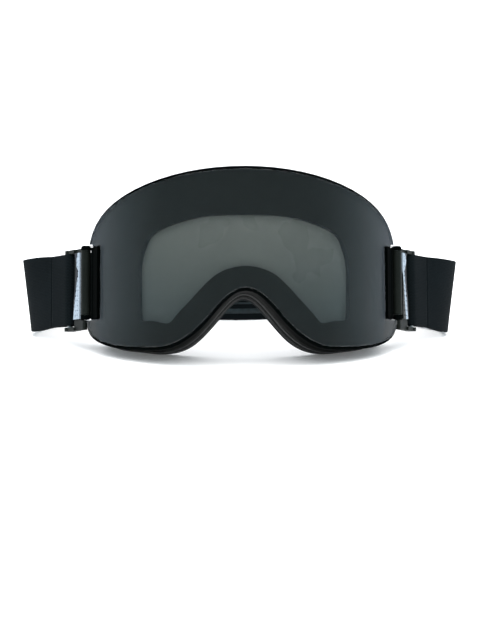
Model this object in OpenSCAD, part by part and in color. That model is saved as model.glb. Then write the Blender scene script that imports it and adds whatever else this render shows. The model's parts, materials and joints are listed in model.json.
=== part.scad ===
// Ski goggles: a cylindrical lens held by magnets on a moulded frame, three layers of face
// foam, a swinging outrigger at each side and a 40 mm strap with two sliding adjusters.
// Millimetres. X runs across the face, +Y to the back of the head, +Z up; left is -X.
// The goggles rest on the lower foam lobes and the strap, so the frame leans back a little.

/* [Lens] */
// Outer radius of the lens cylinder, which also sets the curve of frame and foam
lens_r = 100; // [90:1:120]
// Thickness of the outer lens
lens_t = 2; // [1.6:0.1:2.6]
// Thickness of the inner lens
inner_lens_t = 1; // [0.8:0.1:1.4]
// Height of the foam spacer between the two lenses
gasket_t = 3; // [2:0.5:4]
// Width of the foam spacer
gasket_w = 4; // [3:0.5:6]

/* [Frame] */
// Backward lean of the frame where it rests, in degrees
lean = 13.7; // [8:0.1:18]
// Thickness of the seat flange behind the lens
seat_t = 2.6; // [2:0.2:3.4]
// Depth from the lens surface to the back of the frame
frame_depth = 17; // [14:1:22]
// Width of the thin rim outside the lens edge
rim_w = 1.1; // [0.8:0.1:2]
// Number of vent slots along the top wall
top_vents = 9; // [5:2:11]
// Diameter of the retention magnets
magnet_d = 6; // [5:0.5:8]

/* [Face foam] */
// Depth of the dense foam layer
foam_base_t = 7; // [5:1:10]
// Depth of the soft foam layer
foam_mid_t = 10; // [8:1:16]
// Depth of the fleece layer
fleece_t = 2.5; // [2:0.5:4]

/* [Outriggers] */
// Distance from hinge pin to strap bar
arm_len = 18.5; // [16:0.5:24]
// Outward splay of the arm from straight back, in degrees
splay = 30; // [20:1:40]
// Radius of the hinge barrel
barrel_r = 2.7; // [2.5:0.1:3]
// Radius of the hinge pin
pin_r = 1.2; // [1:0.1:1.5]
// Radius of the strap bar
bar_r = 1.6; // [1.4:0.1:2]

/* [Strap] */
// Width of the strap webbing
strap_w = 40; // [35:1:45]
// Thickness of one layer of webbing
strap_t = 1.8; // [1.4:0.1:2.2]
// Distance of each adjuster from the middle of the strap
adjuster_x = 62; // [52:1:66]
// Width of an adjuster along the strap
adjuster_w = 22; // [18:1:26]

/* [Hidden] */
$fn = 64;

// where the leaning frame stands
y_shift = -80.11;
z_shift = 9.44;

// Outlines unrolled flat: [distance along the curve, height], from top middle to nose middle.
// Each list steers a smooth closed curve, and all four have matching points.
lens_half = [
  [0, 96.9], [30.5, 94.9], [63.5, 87.3], [91.3, 75], [101.3, 59.5], [101, 45], [103, 18], [98.6, 11],
  [78, 4.5], [57, 3.5], [40.5, 2.5], [25, 12.5], [17, 22.5], [7.8, 31.8], [0, 34.2]
];
window_half = [
  [0, 72], [21, 72], [37, 69], [55, 63.5], [57, 57], [61.5, 49.5], [60.5, 28], [61, 15.5],
  [53, 18.5], [42, 14], [39, 19], [29.5, 27.5], [18, 40], [9.5, 43.8], [0, 45.6]
];
wall_half = [
  [0, 96.4], [30, 94.4], [60, 87.3], [82, 75], [88.5, 61], [88.5, 46], [88.5, 24], [86, 10],
  [74, 3.4], [57, 2.2], [41, 0], [26, 7], [15, 20.5], [6.5, 30.2], [0, 33]
];
face_half = [
  [0, 96], [30, 94], [60, 87.3], [83, 76.5], [90, 63], [90.5, 46], [90.5, 24], [88, 11],
  [75, 5], [57, 3.2], [41, 0.2], [26, 4.4], [14, 18], [6, 28], [0, 30.8]
];
inner_half = [
  [0, 84], [26, 83], [50, 77], [68, 68], [76, 57], [77, 44], [77, 28], [75, 20],
  [67, 17.5], [55, 17], [45, 17.5], [34, 26], [23, 36], [9, 44.5], [0, 46.5]
];
outline_steps = 4;

function mirrored(half) = concat(half, [for (i = [len(half) - 2:-1:1]) [-half[i][0], half[i][1]]]);
function spline(a, b, c, d, t) =
  (pow(1 - t, 3) * a + (3 * pow(t, 3) - 6 * t * t + 4) * b
   + (-3 * pow(t, 3) + 3 * t * t + 3 * t + 1) * c + pow(t, 3) * d) / 6;
function closed_curve(p) =
  [for (i = [0:len(p) - 1], j = [0:outline_steps - 1]) let (n = len(p))
    spline(p[(i + n - 1) % n], p[i], p[(i + 1) % n], p[(i + 2) % n], j / outline_steps)];
// moves every point of a clockwise curve outwards by d
function grown(c, d) =
  [for (i = [0:len(c) - 1]) let (n = len(c), t = c[(i + 1) % n] - c[(i + n - 1) % n])
    c[i] + d * [-t[1], t[0]] / norm(t)];
function mix(a, b, t) = [for (i = [0:len(a) - 1]) a[i] * (1 - t) + b[i] * t];
function degrees_at(s) = s / lens_r * 180 / PI;
// flat outline point to space: proud of the lens surface by n, moved back by u
function on_face(q, n, u) = let (a = degrees_at(q[0]))
  [(lens_r + n) * sin(a), lens_r - (lens_r + n) * cos(a) + u, q[1]];

lens_curve = closed_curve(mirrored(lens_half));
window_curve = closed_curve(mirrored(window_half));
wall_curve = closed_curve(mirrored(wall_half));
face_curve = closed_curve(mirrored(face_half));
inner_curve = closed_curve(mirrored(inner_half));
stations = len(lens_curve);

seat_gap = 0.4;
seat_front = lens_t + seat_gap;
seat_back = seat_front + seat_t;
gasket_back = lens_t + gasket_t;
seat_clear = 1;
seat_curve = grown(window_curve, gasket_w + seat_clear);
rim_clear = 0.4;
rim_curve = grown(lens_curve, rim_clear + rim_w);
rim_front = 0.8;
wall_part = 0.22;
wall_start = 8;
flange_part = 0.8;
flange_t = 2;
face_depth = frame_depth + foam_base_t + foam_mid_t + fleece_t;

// side notch for the hinge blocks
notch_x = 77.4;
notch_low = 19.9;
notch_high = 59.5;
notch_reach = 40;
notch_front = -10;
notch_len = 90;
// hinge
hinge_x = 85.5;
hinge_y = 50;
ear_low = 20.3;
ear_high = 60.9;
ear_t = 2.4;
ear_gap = 0.2;
ear_relief_r = 5;
running_gap = 0.05;
block_in = 77.8;
block_out = hinge_x - barrel_r - 0.4;
block_front = 38.3;
block_slope = 4.4;
block_back = 52.5;
block_clear = 0.4;
ear_end = 0.4;
pin_end = 0.6;
pad_in = 73;
pad_front = 42;
pad_back = 48.4;
screw_heights = [27, 53];
screw_y = 44.8;
screw_r = 1.1;
screw_head_r = 2;
screw_head_t = 1.3;
screw_len = 8;
// outrigger
web_t = 2.4;
web_end = 11;
lug_t = 2;
slot_low = 16.9;
slot_high = 57.7;
foot_r = 1.4;
foot_start = 1;
ear_round = 1.2;
relief_low = slot_low - lug_t - 0.5;
web_start = 3.3;
plate_t = 1;
plate_start = 3.4;
// strap turn round the bar
wrap_turn = 12;
wrap_gap = 0.25;
wrap_reach = 9;
strap_low = 17.3;
// magnets
lens_magnet_t = 1.2;
magnet_spots = [[0, 86], [38, 81], [70, 70], [80, 18], [52, 9.5], [77, 62]];

module worn() {
  translate([0, y_shift, z_shift])
    rotate([-lean, 0, 0])
      children();
}

module left_of() {
  mirror([1, 0, 0])
    children();
}

// closed band: each section is a loop of points, and the last section meets the first
module loop_band(sections) {
  m = len(sections[0]);
  n = len(sections);
  quads = [for (i = [0:n - 1], j = [0:m - 1])
    [i * m + j, i * m + (j + 1) % m, ((i + 1) % n) * m + (j + 1) % m, ((i + 1) % n) * m + j]];
  polyhedron(
    points = [for (s = sections, p = s) p],
    faces = [for (q = quads, k = [1, 2]) [q[0], q[k + 1], q[k]]]);
}

// open band with a flat cap at each end
module open_band(sections) {
  m = len(sections[0]);
  n = len(sections);
  quads = [for (i = [0:n - 2], j = [0:m - 1])
    [i * m + j, i * m + (j + 1) % m, (i + 1) * m + (j + 1) % m, (i + 1) * m + j]];
  start_cap = [for (j = [1:m - 2]) [0, j, j + 1]];
  end_cap = [for (j = [1:m - 2]) [(n - 1) * m, (n - 1) * m + j + 1, (n - 1) * m + j]];
  polyhedron(
    points = [for (s = sections, p = s) p],
    faces = concat([for (q = quads, k = [1, 2]) [q[0], q[k + 1], q[k]]], start_cap, end_cap));
}

// solid whose side wall runs square to the lens surface along a closed outline
plug_middle = [0, 62];
plug_in = -9;
plug_out = 26;
module outline_plug(curve) {
  n = len(curve);
  inner = [for (q = curve) on_face(q, plug_in, 0)];
  outer = [for (q = curve) on_face(q, plug_out, 0)];
  middles = [on_face(plug_middle, plug_in, 0), on_face(plug_middle, plug_out, 0)];
  polyhedron(
    points = concat(middles, inner, outer),
    faces = [for (i = [0:n - 1]) let (a = 2 + i, b = 2 + (i + 1) % n, c = a + n, d = b + n)
      each [[0, b, a], [1, c, d], [a, b, d], [a, d, c]]]);
}

shell_low = -5;
shell_h = 115;
module lens_shell(front, back) {
  translate([0, lens_r, shell_low])
    difference() {
      cylinder(h = shell_h, r = lens_r - front, $fn = 240);
      translate([0, 0, -1])
        cylinder(h = shell_h + 2, r = lens_r - back, $fn = 240);
    }
}

module side_notches(x_in) {
  for (s = [-1, 1])
    translate([s > 0 ? x_in : -x_in - notch_reach, notch_front, notch_low])
      cube([notch_reach, notch_len, notch_high - notch_low]);
}

// room in the rim for the foot of each outrigger and for the upper ear of each hinge block
module hinge_reliefs() {
  for (s = [-1, 1]) {
    translate([s * hinge_x, hinge_y, relief_low])
      cylinder(h = notch_low + 1 - relief_low, r = foot_r + 0.6);
    translate([s * hinge_x, hinge_y, notch_high - 1])
      cylinder(h = ear_high - notch_high + 1.4, r = ear_relief_r);
  }
}

// ---- lens group ----
module outer_lens() {
  color("#3b4346")
    worn()
      difference() {
        intersection() {
          lens_shell(0, lens_t);
          outline_plug(lens_curve);
        }
        side_notches(notch_x);
      }
}

module lens_gasket() {
  outside = grown(window_curve, gasket_w);
  color("#1d2022")
    worn()
      loop_band([for (i = [0:stations - 1]) [
        on_face(outside[i], -lens_t, 0), on_face(window_curve[i], -lens_t, 0),
        on_face(window_curve[i], -gasket_back, 0), on_face(outside[i], -gasket_back, 0)]]);
}

module inner_lens() {
  color("#6a7274")
    worn()
      intersection() {
        lens_shell(gasket_back, gasket_back + inner_lens_t);
        outline_plug(grown(window_curve, gasket_w));
      }
}

// discs lie square to the way the lens pulls off
module magnet_set(r, front, back) {
  intersection() {
    lens_shell(front, back);
    for (spot = magnet_spots, s = spot[0] == 0 ? [1] : [-1, 1])
      translate([s * on_face(spot, 0, 0)[0], -5, spot[1]])
        rotate([-90, 0, 0])
          cylinder(h = 80, r = r);
  }
}

module lens_magnets() {
  color("#5a5e60")
    worn()
      magnet_set(magnet_d / 2, lens_t, lens_t + lens_magnet_t);
}

// ---- frame group ----
pocket_clear = 0.8;
pocket_back = lens_t + lens_magnet_t + 0.4;
vent_w = 8;
vent_h = 3.6;
vent_u = 8.4;
vent_span = 54;
vent_top_z = 76;
vent_top_len = 30;
vent_low_z = -8;
vent_low_len = 20;
lower_vents = [48, 58, 68];
vent_foam_front = 8.3;
vent_foam_back = 13.3;

module vent_cutter(s, z_low, z_len) {
  translate([lens_r * sin(degrees_at(s)), on_face([s, 0], 0, vent_u)[1] + vent_h / 2, z_low])
    rotate([0, 0, degrees_at(s)])
      for (e = [-1, 1]) {
        translate([e * (vent_w - vent_h) / 2, 0, 0])
          cylinder(h = z_len, r = vent_h / 2, $fn = 32);
        translate([-(vent_w - vent_h) / 2, -vent_h / 2, 0])
          cube([vent_w - vent_h, vent_h, z_len]);
      }
}

module frame_chassis() {
  wall_in = mix(wall_curve, inner_curve, wall_part);
  flange_in = mix(wall_curve, inner_curve, flange_part);
  front_mid = mix(rim_curve, seat_curve, 0.5);
  back_mid = mix(seat_curve, wall_in, 0.5);
  color("#202628")
    worn()
      difference() {
        union() {
          loop_band([for (i = [0:stations - 1]) [
            on_face(rim_curve[i], -seat_front, 0), on_face(front_mid[i], -seat_front, 0),
            on_face(seat_curve[i], -seat_front, 0), on_face(seat_curve[i], -seat_back, 0),
            on_face(back_mid[i], -seat_back, 0), on_face(wall_in[i], -seat_back, 0),
            on_face(wall_in[i], 0, frame_depth - flange_t),
            on_face(flange_in[i], 0, frame_depth - flange_t),
            on_face(flange_in[i], 0, frame_depth), on_face(wall_curve[i], 0, frame_depth),
            on_face(wall_curve[i], 0, wall_start), on_face(rim_curve[i], -seat_back, 0)]]);
          for (s = [-1, 1])
            translate([s > 0 ? pad_in : -block_in, pad_front, notch_low + block_clear])
              cube([block_in - pad_in, pad_back - pad_front,
                    notch_high - notch_low - 2 * block_clear]);
        }
        side_notches(block_in);
        hinge_reliefs();
        for (i = [0:top_vents - 1])
          vent_cutter(-vent_span + i * 2 * vent_span / (top_vents - 1), vent_top_z, vent_top_len);
        for (s = lower_vents, e = [-1, 1])
          vent_cutter(e * s, vent_low_z, vent_low_len);
        magnet_set(magnet_d / 2 + pocket_clear, lens_t, pocket_back);
        magnet_set(magnet_d / 2 + running_gap, pocket_back - 0.01, seat_back + 2);
        for (s = [-1, 1], z = screw_heights)
          translate([s * (pad_in - 4), screw_y, z])
            rotate([0, s * 90, 0])
              cylinder(h = 12, r = screw_r + running_gap, $fn = 32);
        for (s = [-1, 1], z = screw_heights)
          translate([s * (pad_in - 6), screw_y, z])
            rotate([0, s * 90, 0])
              cylinder(h = 6, r = screw_head_r + 0.3, $fn = 32);
      }
}

module lens_bezel() {
  inside = grown(lens_curve, rim_clear);
  color("#0e1011")
    worn()
      difference() {
        loop_band([for (i = [0:stations - 1]) [
          on_face(rim_curve[i], -rim_front - 0.4, 0),
          on_face(mix([rim_curve[i]], [inside[i]], 0.4)[0], -rim_front, 0),
          on_face(inside[i], -rim_front, 0), on_face(inside[i], -seat_front, 0),
          on_face(rim_curve[i], -seat_front, 0)]]);
        side_notches(notch_x);
        hinge_reliefs();
      }
}

module frame_magnets() {
  color("#8d9294")
    worn()
      magnet_set(magnet_d / 2, pocket_back, seat_back);
}

// strip of open-cell foam behind the vents, between two stations of the wall
module vent_foam(first, last) {
  front = mix(wall_curve, inner_curve, wall_part + 0.09);
  back = mix(wall_curve, inner_curve, wall_part + 0.35);
  open_band([for (k = [first:last]) let (i = (k + stations) % stations) [
    on_face(front[i], 0, vent_foam_front), on_face(back[i], 0, vent_foam_front),
    on_face(back[i], 0, vent_foam_back), on_face(front[i], 0, vent_foam_back)]]);
}

module vent_foam_top() {
  color("#2b2d2e")
    worn()
      vent_foam(-9, 9);
}

module vent_foam_lower() {
  color("#2b2d2e")
    worn() {
      vent_foam(32, 39);
      left_of()
        vent_foam(32, 39);
    }
}

// one foam layer from depth u0 to u1 with eased edges
module foam_layer(u0, u1, ease) {
  part0 = (u0 - frame_depth) / (face_depth - frame_depth);
  part1 = (u1 - frame_depth) / (face_depth - frame_depth);
  out0 = mix(wall_curve, face_curve, part0);
  out1 = mix(wall_curve, face_curve, part1);
  e = ease / 12;
  worn()
    loop_band([for (i = [0:stations - 1]) let (a = out0[i], b = out1[i], c = inner_curve[i]) [
      on_face(a * (1 - e) + c * e, 0, u0), on_face(c * (1 - e) + a * e, 0, u0),
      on_face(c, 0, u0 + ease), on_face(c, 0, u1 - ease),
      on_face(c * (1 - e) + b * e, 0, u1), on_face(b * (1 - e) + c * e, 0, u1),
      on_face(b, 0, u1 - ease), on_face(a, 0, u0 + ease)]]);
}

glue_gap = 0.35;
module face_foam_base() {
  color("#26292b")
    foam_layer(frame_depth + glue_gap, frame_depth + foam_base_t, 1);
}

module face_foam_mid() {
  color("#303436")
    foam_layer(frame_depth + foam_base_t + glue_gap, face_depth - fleece_t - glue_gap, 1.6);
}

module face_foam_fleece() {
  color("#171a1c")
    foam_layer(face_depth - fleece_t, face_depth, 1);
}

// ---- hinges ----
// half section of an ear, rounded at its outer end
module ear_profile() {
  polygon([
    [0, 0], [barrel_r, 0],
    for (a = [0:15:90])
      [barrel_r - ear_round + ear_round * cos(a), ear_t - ear_round + ear_round * sin(a)],
    [0, ear_t]]);
}

module hinge_block() {
  low = notch_low + block_clear;
  high = notch_high - block_clear;
  edge = 1.2;
  round_r = 1.6;
  ear_neck = 2 * (barrel_r - 0.3);
  front_out = block_front + block_slope;
  difference() {
    union() {
      translate([0, 0, low])
        linear_extrude(high - low)
          polygon([
            [block_in, block_front + edge], [block_in, block_back], [block_out, block_back],
            for (a = [0:-15:-75])
              [block_out - round_r + round_r * cos(a), front_out + round_r + round_r * sin(a)],
            [block_in + edge, block_front]]);
      for (end = [[ear_low + ear_t, 1], [ear_high - ear_t, 0]])
        translate([0, 0, end[0]])
          mirror([0, 0, end[1]]) {
            translate([hinge_x, hinge_y, 0])
              rotate_extrude()
                ear_profile();
            translate([block_out - 1, hinge_y - ear_neck / 2, 0])
              cube([hinge_x - block_out + 1, ear_neck, ear_t - ear_round]);
          }
    }
    translate([hinge_x, hinge_y, ear_low + ear_end])
      cylinder(h = ear_high - ear_low - 2 * ear_end, r = pin_r + running_gap);
    for (z = screw_heights)
      translate([pad_in, screw_y, z])
        rotate([0, 90, 0])
          cylinder(h = screw_len + 0.3, r = screw_r + running_gap, $fn = 32);
  }
}

module hinge_block_right() {
  color("#0b0c0d")
    worn()
      hinge_block();
}

module hinge_block_left() {
  color("#0b0c0d")
    worn()
      left_of()
        hinge_block();
}

module hinge_screws() {
  color("#7c8082")
    worn()
      for (s = [-1, 1], z = screw_heights)
        translate([s * pad_in, screw_y, z])
          rotate([0, s * 90, 0])
            difference() {
              union() {
                cylinder(h = screw_len, r = screw_r, $fn = 32);
                translate([0, 0, -screw_head_t])
                  cylinder(h = screw_head_t, r = screw_head_r, $fn = 32);
              }
              translate([0, 0, -screw_head_t - 0.1])
                cylinder(h = 0.9, r = 1.1, $fn = 6);
            }
}

module outrigger_pin() {
  translate([hinge_x, hinge_y, ear_low + pin_end])
    cylinder(h = ear_high - ear_low - 2 * pin_end, r = pin_r);
}

module outrigger_pin_right() {
  color("#9ea3a5")
    worn()
      outrigger_pin();
}

module outrigger_pin_left() {
  color("#9ea3a5")
    worn()
      left_of()
        outrigger_pin();
}

// arm frame: origin on the hinge axis, X along the arm, -Y outwards
module on_arm() {
  worn()
    translate([hinge_x, hinge_y, 0])
      rotate([0, 0, 90 - splay])
        children();
}

module on_left_arm() {
  worn()
    left_of()
      translate([hinge_x, hinge_y, 0])
        rotate([0, 0, 90 - splay])
          children();
}

module outrigger_body() {
  barrel_low = ear_low + ear_t + ear_gap;
  barrel_high = ear_high - ear_t - ear_gap;
  arm_low = slot_low - lug_t;
  arm_high = slot_high + lug_t;
  foot_high = ear_low - ear_gap;
  difference() {
    union() {
      translate([0, 0, barrel_low])
        cylinder(h = barrel_high - barrel_low, r = barrel_r);
      translate([0, -web_t / 2, barrel_low])
        cube([web_end, web_t, barrel_high - barrel_low]);
      translate([web_start, -web_t / 2, arm_low])
        cube([web_end - web_start, web_t, arm_high - arm_low]);
      translate([foot_start, 0, arm_low])
        cylinder(h = foot_high - arm_low, r = foot_r);
      translate([foot_start, -foot_r, arm_low])
        cube([web_end - foot_start, 2 * foot_r, foot_high - arm_low]);
      for (z = [arm_low, slot_high])
        translate([0, 0, z]) {
          translate([web_end - 1, -web_t, 0])
            cube([arm_len - web_end + 1, 2 * web_t, lug_t]);
          translate([arm_len, 0, 0])
            cylinder(h = lug_t, r = bar_r + 1.6);
        }
    }
    translate([0, 0, barrel_low - 1])
      cylinder(h = barrel_high - barrel_low + 2, r = pin_r + running_gap);
    translate([arm_len, 0, arm_low + 0.6])
      cylinder(h = arm_high - arm_low - 1.2, r = bar_r + running_gap);
  }
}

module outrigger_right() {
  color("#33352e")
    on_arm()
      outrigger_body();
}

module outrigger_left() {
  color("#33352e")
    on_left_arm()
      outrigger_body();
}

plate_low = 21;
plate_high = 57.4;
// free edge of the plate: [distance along the arm, height], narrowest above the middle
plate_edge = [[10.6, 21], [10.2, 30], [8.2, 42], [7.4, 50], [9.4, 57.4]];
dimple_rows = 12;
dimple_step = 2.3;
dimple_r = 0.5;
full_rows = 6;
dimple_margin = 2;
dimple_depth = 0.4;
module outrigger_plate() {
  pitch = (plate_high - plate_low - 2 * dimple_margin) / dimple_rows;
  difference() {
    translate([0, -web_t / 2, 0])
      rotate([90, 0, 0])
        linear_extrude(plate_t)
          polygon(concat([[plate_start, plate_high], [plate_start, plate_low]], plate_edge));
    for (i = [0:dimple_rows], j = [0:i < full_rows ? 1 : 0])
      translate([plate_start + dimple_margin + j * dimple_step, -web_t / 2 - plate_t - 0.1,
                 plate_low + dimple_margin + i * pitch])
        rotate([-90, 0, 0])
          cylinder(h = dimple_depth + 0.1, r = dimple_r, $fn = 16);
  }
}

module outrigger_plate_right() {
  color("#e4e7e8")
    on_arm()
      outrigger_plate();
}

module outrigger_plate_left() {
  color("#e4e7e8")
    on_left_arm()
      outrigger_plate();
}

module strap_bar() {
  translate([arm_len, 0, slot_low - lug_t + 0.6])
    cylinder(h = slot_high - slot_low + 2 * lug_t - 1.2, r = bar_r);
}

module strap_bar_right() {
  color("#2a2c2d")
    on_arm()
      strap_bar();
}

module strap_bar_left() {
  color("#2a2c2d")
    on_left_arm()
      strap_bar();
}

// ---- strap ----
// outline of a belt round a big and a small circle, d apart along X
function belt(r1, r2, d) = let (b = acos((r1 - r2) / d)) concat(
  [for (k = [0:12]) let (a = b + (360 - 2 * b) * k / 12) r1 * [cos(a), sin(a)]],
  [for (k = [0:4]) let (a = -b + 2 * b * k / 4) [d, 0] + r2 * [cos(a), sin(a)]]);

module strap_wrap() {
  wrap_in = bar_r + wrap_gap;
  tip = 0.1;
  translate([arm_len, 0, strap_low])
    rotate([0, 0, -wrap_turn])
      linear_extrude(strap_w)
        difference() {
          polygon(belt(wrap_in + strap_t, tip + strap_t, wrap_reach));
          polygon(belt(wrap_in, tip, wrap_reach));
        }
}

module strap_wrap_right() {
  color("#1a2026")
    on_arm()
      strap_wrap();
}

module strap_wrap_left() {
  color("#1a2026")
    on_left_arm()
      strap_wrap();
}

// steering points of the lower and upper edge of the strap's outer face, from outrigger to middle
strap_y = 152;
strap_lift = 1.8;
strap_low_half = [
  [106.2, 78, 8.8], [111.4, 84, 6.2], [117, 92, 3.1], [121.1, 102, 1.2], [120.1, 112.5, 0.8],
  [114, 123.5, 0.8], [106.5, 134, 1.2], [100, 144.5, strap_lift], [90, strap_y, strap_lift],
  [76, strap_y, strap_lift], [54, strap_y, strap_lift], [36, strap_y, 1.5],
  [18, strap_y, 0.6], [0, strap_y, 0.3]
];
strap_high_half = [
  [106.2, 87.5, 47.6], [112.3, 91.3, 46.5], [119.4, 97, 44.7], [125.9, 105, 42.5], [125.1, 114.5, 41.3],
  [117.5, 124.5, 40.9], [108.5, 134.5, 41.3], [100.5, 144.5, strap_lift + 40],
  [90, strap_y, strap_lift + 40], [76, strap_y, strap_lift + 40], [54, strap_y, strap_lift + 40],
  [36, strap_y, 41.5], [18, strap_y, 40.6], [0, strap_y, 40.3]
];
strap_steps = 4;
function flip_x(p) = [-p[0], p[1], p[2]];
function whole_strap(half) =
  concat(half, [for (i = [len(half) - 2:-1:0]) flip_x(half[i])]);
function open_curve(p) = let (
    n = len(p),
    q = concat([2 * p[0] - p[1]], p, [2 * p[n - 1] - p[n - 2]]))
  concat([for (i = [0:n - 2], j = [0:strap_steps - 1])
    spline(q[i], q[i + 1], q[i + 2], q[i + 3], j / strap_steps)], [p[n - 1]]);
strap_low_curve = open_curve(whole_strap(strap_low_half));
strap_high_curve = open_curve(whole_strap(strap_high_half));
strap_stations = len(strap_low_curve);
layer_gap = 0.15;

// section of a layer between depths d0 and d1 under the strap's outer face
function strap_section(i, d0, d1) = let (
    a = max(i - 1, 0),
    b = min(i + 1, strap_stations - 1),
    along = strap_low_curve[b] + strap_high_curve[b] - strap_low_curve[a] - strap_high_curve[a],
    up = strap_high_curve[i] - strap_low_curve[i],
    w = cross(up, along),
    inwards = w / norm(w),
    low = strap_low_curve[i],
    high = strap_high_curve[i])
  [high + d0 * inwards, low + d0 * inwards, low + d1 * inwards, high + d1 * inwards];

module strap_layer(first, last, d0, d1) {
  translate([0, y_shift, 0])
    open_band([for (i = [first:last]) strap_section(i, d0, d1)]);
}

module strap_main() {
  color("#1a2026")
    strap_layer(0, strap_stations - 1, 0, strap_t);
}

tail_stations = 11 * strap_steps;
module strap_tail_right() {
  color("#161b20")
    strap_layer(0, tail_stations, strap_t + layer_gap, 2 * strap_t + layer_gap);
}

module strap_tail_left() {
  color("#161b20")
    left_of()
      strap_layer(0, tail_stations, strap_t + layer_gap, 2 * strap_t + layer_gap);
}

// height and width of each silicone line above the strap's lower edge
grip_lines = [[4.2, 3], [10, 1], [29, 1], [32.8, 3]];
grip_t = 0.4;
grip_half = 30;
module strap_grip() {
  color("#3d5058")
    translate([0, y_shift + strap_y - strap_t - grip_t, 0.3])
      for (line = grip_lines)
        translate([-grip_half, 0, line[0]])
          cube([2 * grip_half, grip_t, line[1]]);
}

// three-bar slider: two bars outside the strap, one inside, joined above and below
rail_t = 1.5;
slide_gap = 0.3;
outer_bar_t = 1.7;
module adjuster() {
  inside_y = strap_y - 2 * strap_t - layer_gap - slide_gap;
  outside_y = strap_y + slide_gap;
  depth = outside_y + outer_bar_t - inside_y + outer_bar_t;
  height = strap_w + 2 * slide_gap + 2 * rail_t;
  bar_w = 5;
  round_r = 2;
  translate([adjuster_x, y_shift + inside_y - outer_bar_t, strap_lift - slide_gap - rail_t])
    difference() {
      union() {
        for (z = [0, height - rail_t])
          translate([0, depth / 2, z])
            linear_extrude(rail_t)
              for (e = [-1, 1]) {
                translate([e * (adjuster_w / 2 - round_r), depth / 2 - round_r])
                  circle(r = round_r, $fn = 32);
                translate([e * (adjuster_w / 2 - round_r), -depth / 2 + round_r])
                  circle(r = round_r, $fn = 32);
                square([adjuster_w - 2 * round_r, depth], center = true);
                square([adjuster_w, depth - 2 * round_r], center = true);
              }
        for (e = [-1, 1])
          translate([e * (adjuster_w - bar_w) / 2 - bar_w / 2, depth - outer_bar_t, 0])
            cube([bar_w, outer_bar_t, height]);
        translate([-bar_w / 2 - 1, 0, 0])
          cube([bar_w + 2, outer_bar_t, height]);
      }
      for (e = [-1, 1], k = [0:2])
        translate([e * (adjuster_w - bar_w) / 2 + (k - 1) * 1.4, depth + 0.25, 5])
          cylinder(h = height - 10, r = 0.5, $fn = 24);
    }
}

module strap_adjuster_right() {
  color("#1b1d1e")
    adjuster();
}

module strap_adjuster_left() {
  color("#1b1d1e")
    left_of()
      adjuster();
}

frame_chassis();
lens_bezel();
frame_magnets();
vent_foam_top();
vent_foam_lower();
face_foam_base();
face_foam_mid();
face_foam_fleece();
outer_lens();
lens_gasket();
inner_lens();
lens_magnets();
hinge_block_left();
hinge_block_right();
hinge_screws();
outrigger_left();
outrigger_right();
outrigger_pin_left();
outrigger_pin_right();
outrigger_plate_left();
outrigger_plate_right();
strap_bar_left();
strap_bar_right();
strap_wrap_left();
strap_wrap_right();
strap_main();
strap_tail_left();
strap_tail_right();
strap_adjuster_left();
strap_adjuster_right();
strap_grip();
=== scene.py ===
import bpy
import bmesh
import json
import math
import random
from mathutils import Matrix, Quaternion, Vector
from mathutils.geometry import delaunay_2d_cdt

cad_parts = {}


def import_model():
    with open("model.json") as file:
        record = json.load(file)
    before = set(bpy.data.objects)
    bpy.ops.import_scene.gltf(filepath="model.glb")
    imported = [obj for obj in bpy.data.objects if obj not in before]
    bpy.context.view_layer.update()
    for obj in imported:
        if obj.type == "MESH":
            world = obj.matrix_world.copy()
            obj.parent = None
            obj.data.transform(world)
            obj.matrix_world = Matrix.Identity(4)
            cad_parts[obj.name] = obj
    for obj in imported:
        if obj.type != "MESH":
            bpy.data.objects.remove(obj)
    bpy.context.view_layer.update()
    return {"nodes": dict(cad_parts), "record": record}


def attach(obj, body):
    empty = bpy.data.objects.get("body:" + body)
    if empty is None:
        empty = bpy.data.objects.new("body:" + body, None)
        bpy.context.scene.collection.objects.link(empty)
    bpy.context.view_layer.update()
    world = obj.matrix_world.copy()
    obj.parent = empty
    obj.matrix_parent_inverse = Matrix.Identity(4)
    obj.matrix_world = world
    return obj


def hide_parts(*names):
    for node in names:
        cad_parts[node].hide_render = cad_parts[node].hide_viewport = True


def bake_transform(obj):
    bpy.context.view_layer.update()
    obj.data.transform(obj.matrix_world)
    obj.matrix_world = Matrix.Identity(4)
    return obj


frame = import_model()
record = frame["record"]
joints = {j["name"]: j for j in record["behaviour"]["joints"]}
MM = 0.001

# ---------------------------------------------------------------------------
# The goggles' own leaning frame: the lens pulls off along its -Y, and the right
# hinge pin stands at HINGE. Lengths in the lists below are millimetres.
# ---------------------------------------------------------------------------
HINGE = Vector((85.5, 50.0, 38.0))
lens_pull = joints["lens_release"]["axis"]
LEAN = math.asin(lens_pull[2])
hinge_place = Vector(joints["outrigger_swing_right"]["pos_m"])
TILT = Matrix.Rotation(-LEAN, 3, "X")

LENS_R = 100.0
LENS_T = 2.0
SEAT_BACK = 5.0
FRAME_DEPTH = 17.0
FOAM_BASE_T = 7.0
FOAM_MID_T = 10.0
FLEECE_T = 2.5
FACE_DEPTH = FRAME_DEPTH + FOAM_BASE_T + FOAM_MID_T + FLEECE_T
ARM_LEN = 18.5
SPLAY = 30.0
BAR_R = 1.6
STRAP_T = 1.8
LAYER_GAP = 0.15
ADJUSTER_X = 62.0
NOTCH_S = 88.5
NOTCH_LOW = 19.9
NOTCH_HIGH = 59.5
GLUE_GAP = 0.35
LAYER_SEAM = 0.05
LENS_REACH = 105
LENS_TOP = 104
FLOOR_CLEAR = 0.0001


def worn(x, y, z):
    """A point of the leaning frame, in millimetres, as a place in metres."""
    return hinge_place + TILT @ ((Vector((x, y, z)) - HINGE) * MM)


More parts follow.
